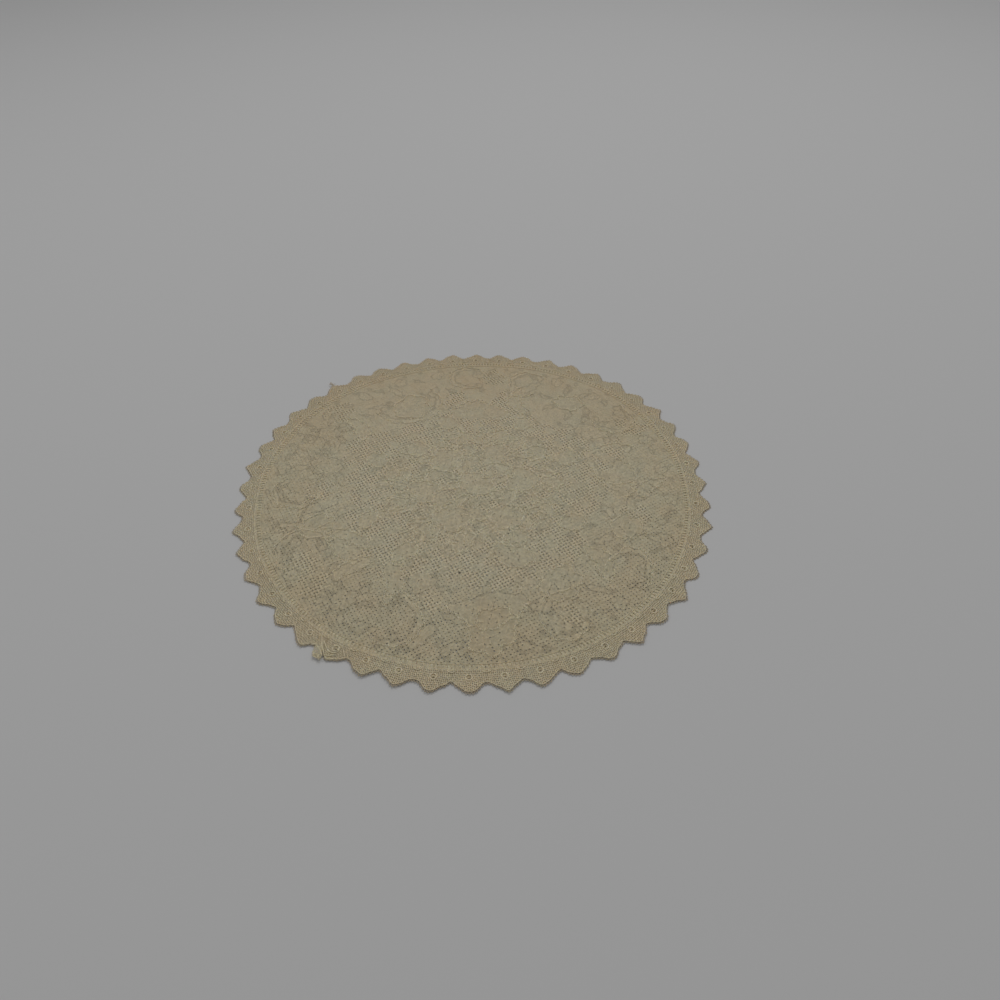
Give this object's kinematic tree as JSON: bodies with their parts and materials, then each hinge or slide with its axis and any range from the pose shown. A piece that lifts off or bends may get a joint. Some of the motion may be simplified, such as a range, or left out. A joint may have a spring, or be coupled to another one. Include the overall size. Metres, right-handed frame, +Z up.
{
  "type": "round lace doily",
  "caption": "Round flat lace doily: a panel of flowered net lace with a pointed lace edging sewn round it, an eyelet in each point.",
  "frame": {"origin": "middle of the underside, on the surface that the doily lies on", "axes": "+Z up out of the upper face, +X through a tooth of the edging, +Y a quarter turn on"},
  "size_m": [0.2536, 0.2506, 0.001],
  "materials": {
    "net_cotton": "ecru cotton net lace, matt",
    "edging_cotton": "ecru cotton close lace, matt"
  },
  "bodies": {
    "root": {"net_panel": "net_cotton", "pointed_edging": "edging_cotton"}
  },
  "joints": []
}
